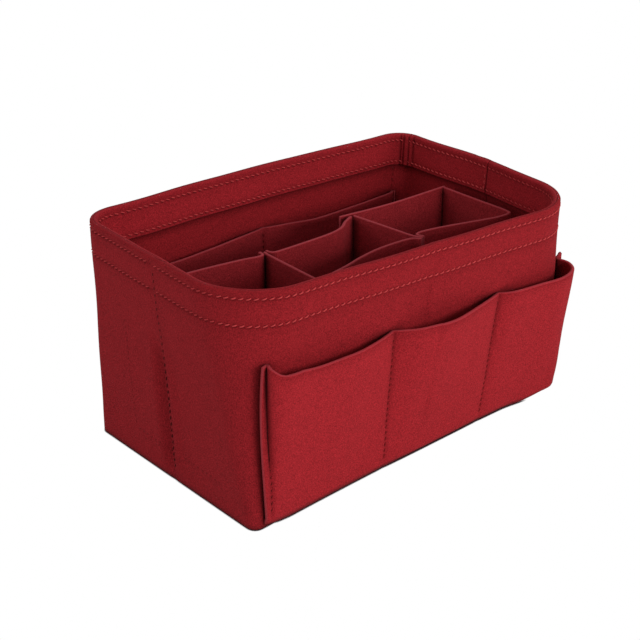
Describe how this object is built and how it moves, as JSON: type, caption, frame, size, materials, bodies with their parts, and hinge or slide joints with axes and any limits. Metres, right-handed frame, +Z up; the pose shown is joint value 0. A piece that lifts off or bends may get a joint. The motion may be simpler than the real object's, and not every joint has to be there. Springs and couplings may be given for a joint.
{
  "type": "purse organizer insert",
  "caption": "Open-top felt tub for a handbag, with open pockets outside and inside and a loose divider with cells that lifts out.",
  "frame": {"origin": "middle of the base panel's underside", "axes": "+Z up, +X along the length to the right as seen from the pocketed front, -Y out of the pocketed front"},
  "size_m": [0.2941, 0.2086, 0.1565],
  "materials": {
    "felt_outside": "matte pressed felt",
    "felt_inside": "matte pressed felt, less light reaches it"
  },
  "bodies": {
    "shell": {"base_panel": "felt_inside", "front_wall": "felt_outside", "back_wall": "felt_outside", "rim_band_front": "felt_outside", "rim_band_back": "felt_outside", "front_pocket_strip": "felt_outside", "inner_pocket_strip": "felt_inside"},
    "divider": {"divider_back_left": "felt_inside", "divider_back_middle": "felt_inside", "divider_back_right": "felt_inside", "divider_front_left": "felt_inside", "divider_front_middle": "felt_inside", "divider_front_right": "felt_inside", "partition_left": "felt_inside", "partition_right": "felt_inside"}
  },
  "joints": [
    {"name": "divider_lift", "type": "slide", "parent": "shell", "child": "divider", "axis": [0, 0, 1], "range_m": [0, 0.16]}
  ]
}
